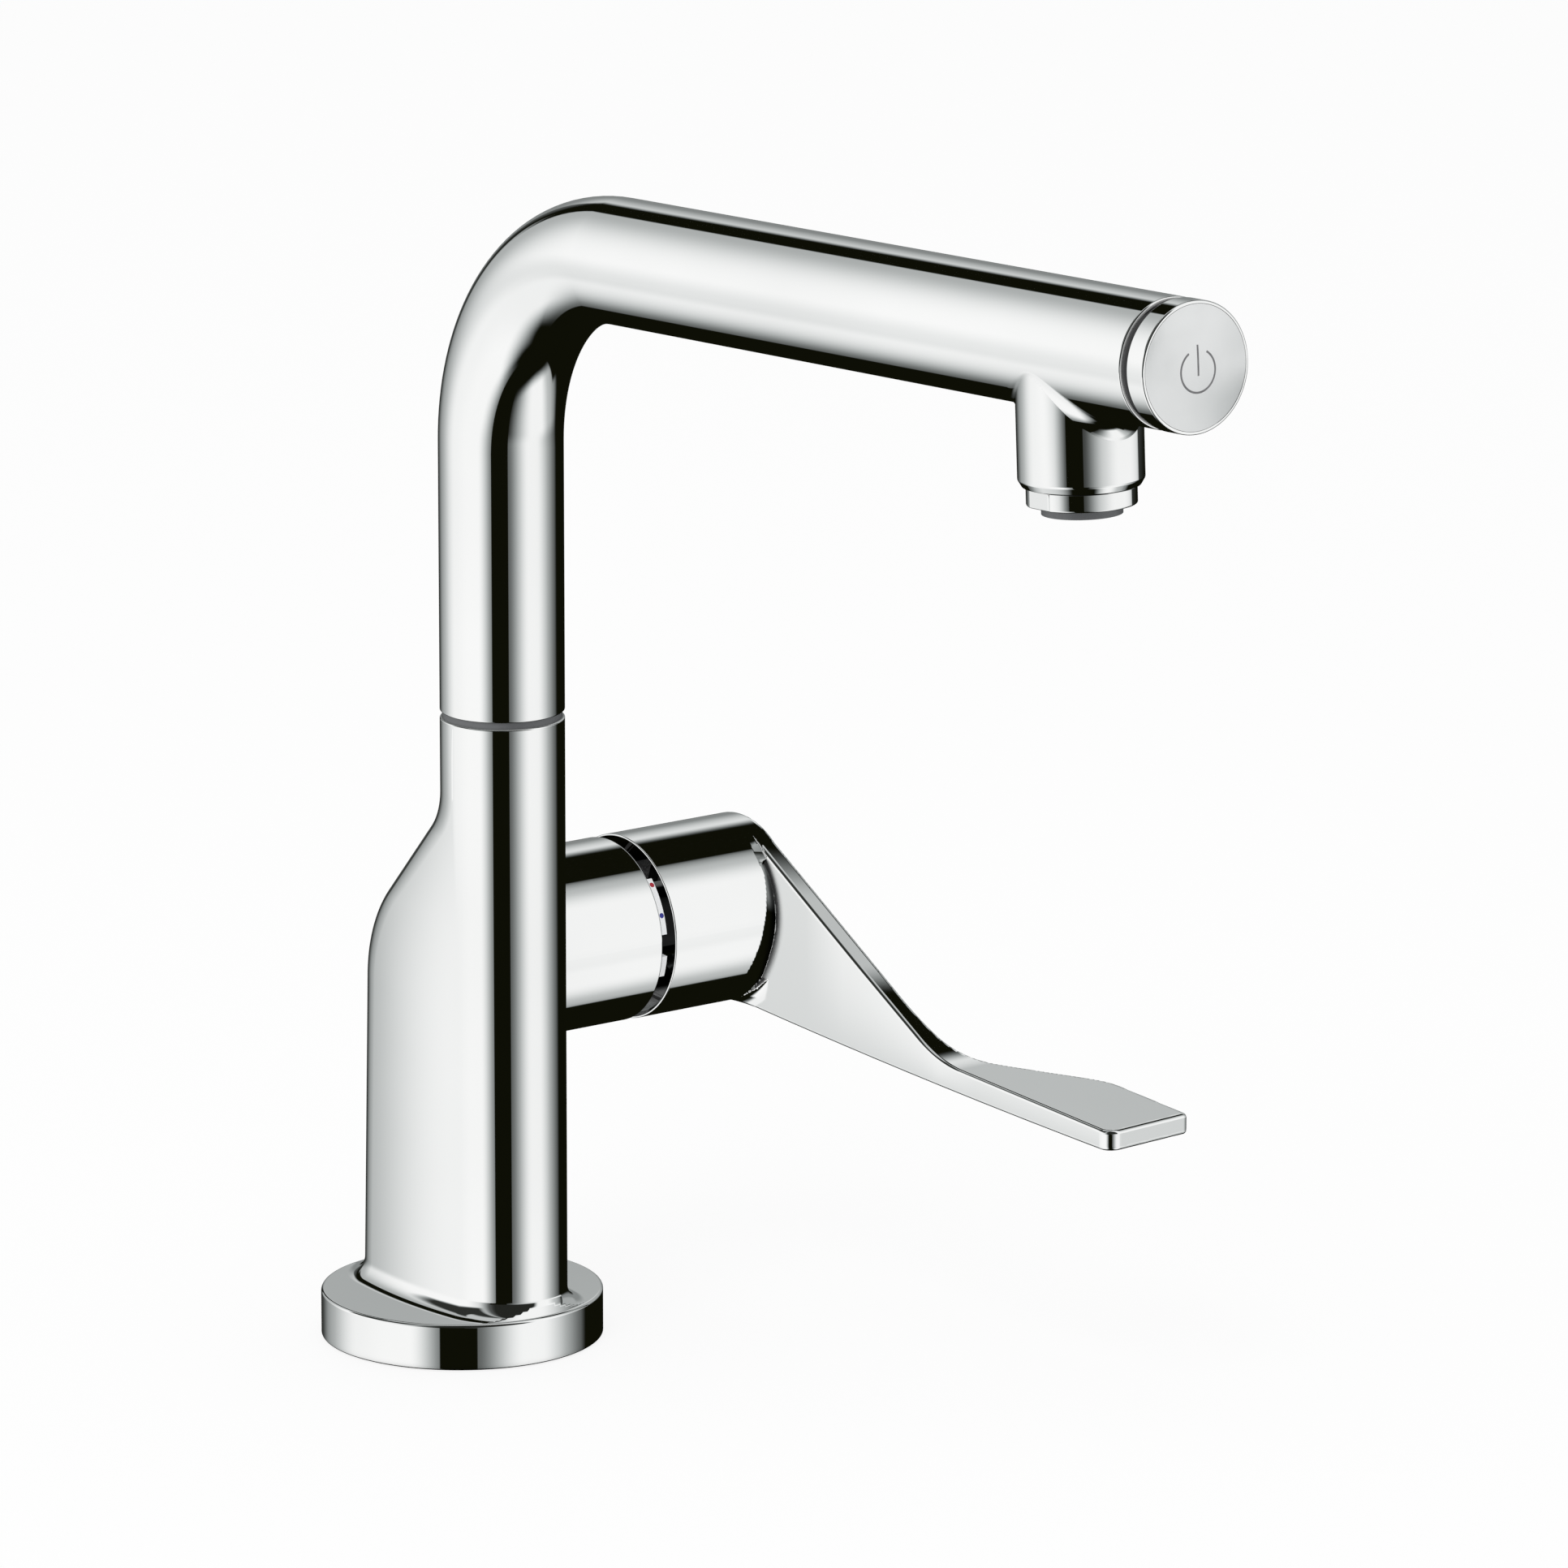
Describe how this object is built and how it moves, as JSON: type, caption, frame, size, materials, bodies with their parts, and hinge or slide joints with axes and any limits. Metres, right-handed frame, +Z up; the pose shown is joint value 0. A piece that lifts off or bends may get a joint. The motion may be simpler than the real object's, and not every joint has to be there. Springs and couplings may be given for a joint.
{
  "type": "kitchen mixer tap",
  "caption": "Kitchen mixer tap with a swivelling high spout, a push button on the spout end, an aerator outlet and a side lever for flow and temperature.",
  "frame": {"origin": "centre of the foot's underside on the deck, at the mouth of the fixing stud's thread", "axes": "+Z up, the spout points to -Y and the lever's hub to +X"},
  "size_m": [0.131, 0.2945, 0.282],
  "materials": {
    "chrome": "polished chrome plate on brass",
    "satin_chrome": "satin chrome",
    "chrome_plastic": "chromed plastic",
    "brass": "machined brass",
    "copper": "drawn copper",
    "steel": "stainless steel",
    "black_rubber": "moulded rubber",
    "dark_plastic": "moulded black plastic",
    "grey_plastic": "moulded grey plastic",
    "white_plastic": "moulded natural plastic",
    "ring_white": "moulded white plastic",
    "mark_red": "printed red",
    "mark_blue": "printed blue",
    "symbol_grey": "lasered grey line",
    "ceramic_white": "ground alumina ceramic"
  },
  "bodies": {
    "tap_body": {"body": "chrome", "deck_gasket": "black_rubber", "spout_post": "brass", "stop_pin": "steel", "slip_ring": "grey_plastic", "lower_glide_ring": "white_plastic", "upper_glide_ring": "white_plastic", "post_o_rings": "black_rubber", "retaining_clip": "steel", "cartridge_base": "grey_plastic", "cartridge_port_seals": "black_rubber", "fixed_ceramic_disc": "ceramic_white", "cartridge_housing": "white_plastic", "retaining_nut": "brass", "dome_cap": "dark_plastic", "indicator_ring": "ring_white", "hot_mark": "mark_red", "cold_mark": "mark_blue"},
    "spout": {"spout": "chrome", "spout_socket": "brass", "waterway_tube": "copper", "valve_housing": "dark_plastic", "housing_seals": "black_rubber", "valve_seat": "white_plastic", "rod_guide": "white_plastic", "rod_seal": "black_rubber", "aerator_collar": "chrome", "aerator_seal": "black_rubber", "flow_screen": "steel", "aerator_insert": "grey_plastic"},
    "button": {"button_cap": "chrome", "button_disc": "satin_chrome", "standby_symbol": "symbol_grey", "push_rod": "steel", "poppet_seal": "black_rubber", "return_spring": "steel"},
    "spindle": {"spindle_carrier": "white_plastic", "pivot_pin": "steel"},
    "lever": {"lever_stem": "steel", "lever_handle": "chrome", "grub_screw": "steel", "screw_plug": "chrome_plastic"},
    "mixing_disc": {"moving_ceramic_disc": "ceramic_white", "disc_driver": "grey_plastic"}
  },
  "joints": [
    {"name": "spout_swivel", "type": "hinge", "parent": "tap_body", "child": "spout", "pos_m": [0, -0.0169, 0.15], "axis": [0, 0, 1], "range_deg": [-75, 75]},
    {"name": "temperature", "type": "hinge", "parent": "tap_body", "child": "spindle", "pos_m": [0.03, 0, 0.0879], "axis": [-1, 0, 0], "range_deg": [-20, 70]},
    {"name": "flow", "type": "hinge", "parent": "spindle", "child": "lever", "pos_m": [0.03, 0, 0.0879], "axis": [0, 0, 1], "range_deg": [0, 18]},
    {"name": "disc_slide", "type": "slide", "parent": "spindle", "child": "mixing_disc", "axis": [0, -1, 0], "range_m": [0, 0.0024]},
    {"name": "button_press", "type": "slide", "parent": "spout", "child": "button", "axis": [0, 0.9987, -0.0506], "range_m": [0, 0.0017], "stiffness_N_per_m": 1500, "springref_m": -0.001, "deforming": ["return_spring"]}
  ],
  "couplings": [
    {"joint": "disc_slide", "follows": "flow", "m_per_rad": 0.0075}
  ]
}
